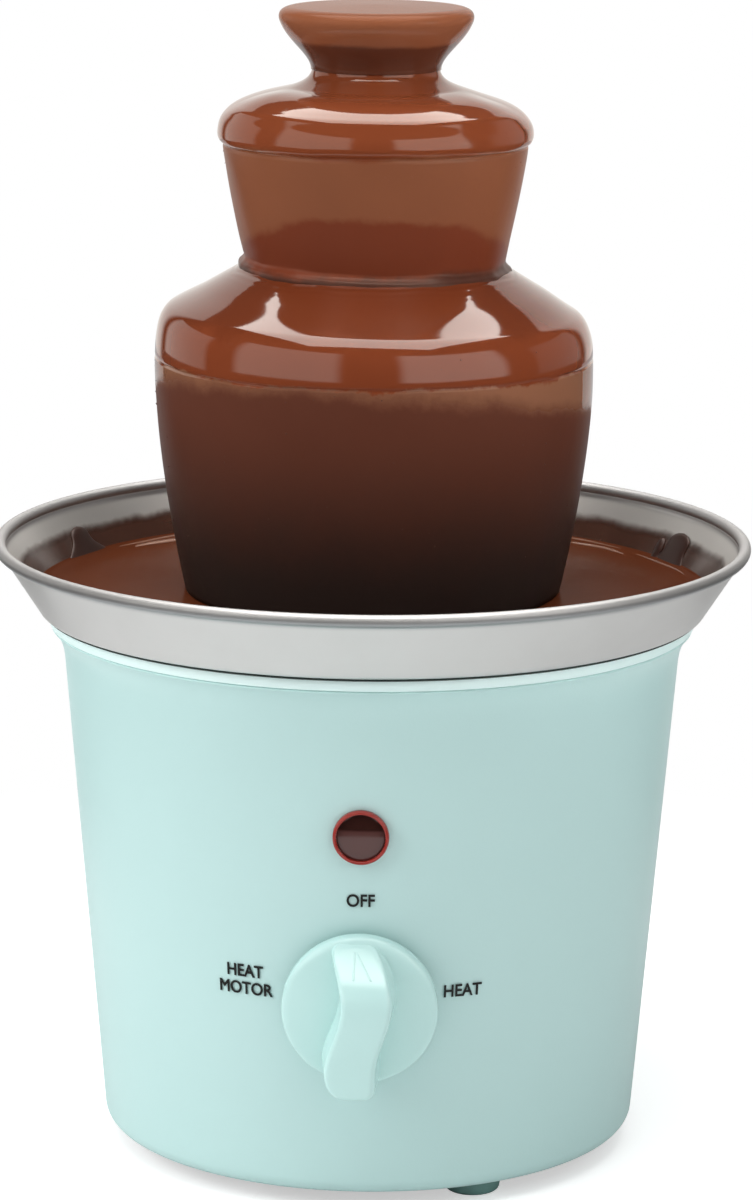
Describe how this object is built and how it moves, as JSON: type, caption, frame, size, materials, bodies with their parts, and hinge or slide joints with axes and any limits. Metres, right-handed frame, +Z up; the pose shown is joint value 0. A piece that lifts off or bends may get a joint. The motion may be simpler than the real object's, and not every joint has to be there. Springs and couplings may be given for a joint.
{
  "type": "chocolate fountain",
  "caption": "Table-top chocolate fountain: tiered tower with an auger over a steel bowl, on a tapered heated base with a motor, switch knob and lamp.",
  "frame": {"origin": "middle of the surface it stands on, under the tower's axis", "axes": "+Z up along the tower, front with the knob towards -Y, +X to the viewer's right"},
  "size_m": [0.19, 0.19, 0.2912],
  "materials": {
    "mint_plastic": "satin moulded mint plastic",
    "mint_band": "satin moulded pale mint plastic",
    "mint_knob": "glossy moulded pale mint plastic",
    "bowl_steel": "satin spun stainless steel",
    "tier_steel": "polished stainless steel",
    "chocolate": "glossy melted milk chocolate",
    "dark_plastic": "moulded dark plastic",
    "foot_rubber": "dark teal rubber",
    "seal_rubber": "black rubber",
    "white_plastic": "natural white engineering plastic",
    "zinc_steel": "zinc plated steel",
    "heater_sheath": "oxidised heater sheath",
    "copper_winding": "enamelled copper winding on laminations",
    "bronze": "sintered bronze and brass",
    "ceramic_body": "white ceramic",
    "lamp_red": "translucent red plastic",
    "lamp_dark": "dark red lens"
  },
  "bodies": {
    "base": {"housing_shell": "mint_plastic", "housing_band": "mint_band", "bowl": "bowl_steel", "pool_chocolate": "chocolate", "base_plate": "dark_plastic", "gearbox_case": "dark_plastic", "gearbox_cover": "dark_plastic", "motor_end_cap": "dark_plastic", "switch_body": "dark_plastic", "cord_gland": "dark_plastic", "gland_nut": "dark_plastic", "rubber_feet": "foot_rubber", "bowl_gasket": "seal_rubber", "shaft_seal": "seal_rubber", "tower_seat": "white_plastic", "seat_nut": "white_plastic", "terminal_block": "white_plastic", "base_screws": "zinc_steel", "bowl_studs": "zinc_steel", "stud_nuts": "zinc_steel", "stud_spacers": "zinc_steel", "motor_plate": "zinc_steel", "gearbox_screws": "zinc_steel", "idler_pin": "zinc_steel", "motor_can": "zinc_steel", "switch_nut": "zinc_steel", "lamp_nut": "zinc_steel", "heater_clamp": "zinc_steel", "heater_ring": "heater_sheath", "stator": "copper_winding", "shaft_bush": "bronze", "thermostat": "ceramic_body", "thermal_fuse": "ceramic_body", "lamp_bezel": "lamp_red", "lamp_lens": "lamp_dark"},
    "auger_drive": {"output_gear": "white_plastic", "output_shaft": "zinc_steel", "drive_coupling": "white_plastic", "auger": "white_plastic"},
    "idler": {"idler_gear": "white_plastic"},
    "rotor": {"rotor": "zinc_steel", "rotor_pinion": "bronze"},
    "tower": {"auger_tube": "tier_steel", "crown_cup": "tier_steel", "upper_tier": "tier_steel", "lower_tier": "tier_steel", "crown_chocolate": "chocolate", "upper_chocolate": "chocolate", "lower_chocolate": "chocolate"},
    "knob": {"knob": "mint_knob", "switch_shaft": "zinc_steel"}
  },
  "joints": [
    {"name": "auger_spin", "type": "hinge", "parent": "base", "child": "auger_drive", "pos_m": [0, 0, 0.13], "axis": [0, 0, 1], "continuous": true},
    {"name": "idler_spin", "type": "hinge", "parent": "base", "child": "idler", "pos_m": [0.02079, 0.012, 0.085], "axis": [0, 0, 1], "continuous": true},
    {"name": "rotor_spin", "type": "hinge", "parent": "base", "child": "rotor", "pos_m": [0, 0.024, 0.05], "axis": [0, 0, 1], "continuous": true},
    {"name": "tower_lift", "type": "slide", "parent": "base", "child": "tower", "axis": [0, 0, 1], "range_m": [0, 0.16]},
    {"name": "knob_turn", "type": "hinge", "parent": "base", "child": "knob", "pos_m": [0, -0.07226, 0.055], "axis": [0, -0.9967, -0.0809], "range_deg": [-90, 90]}
  ],
  "couplings": [
    {"joint": "idler_spin", "follows": "auger_spin", "ratio": -3},
    {"joint": "rotor_spin", "follows": "auger_spin", "ratio": 9}
  ]
}
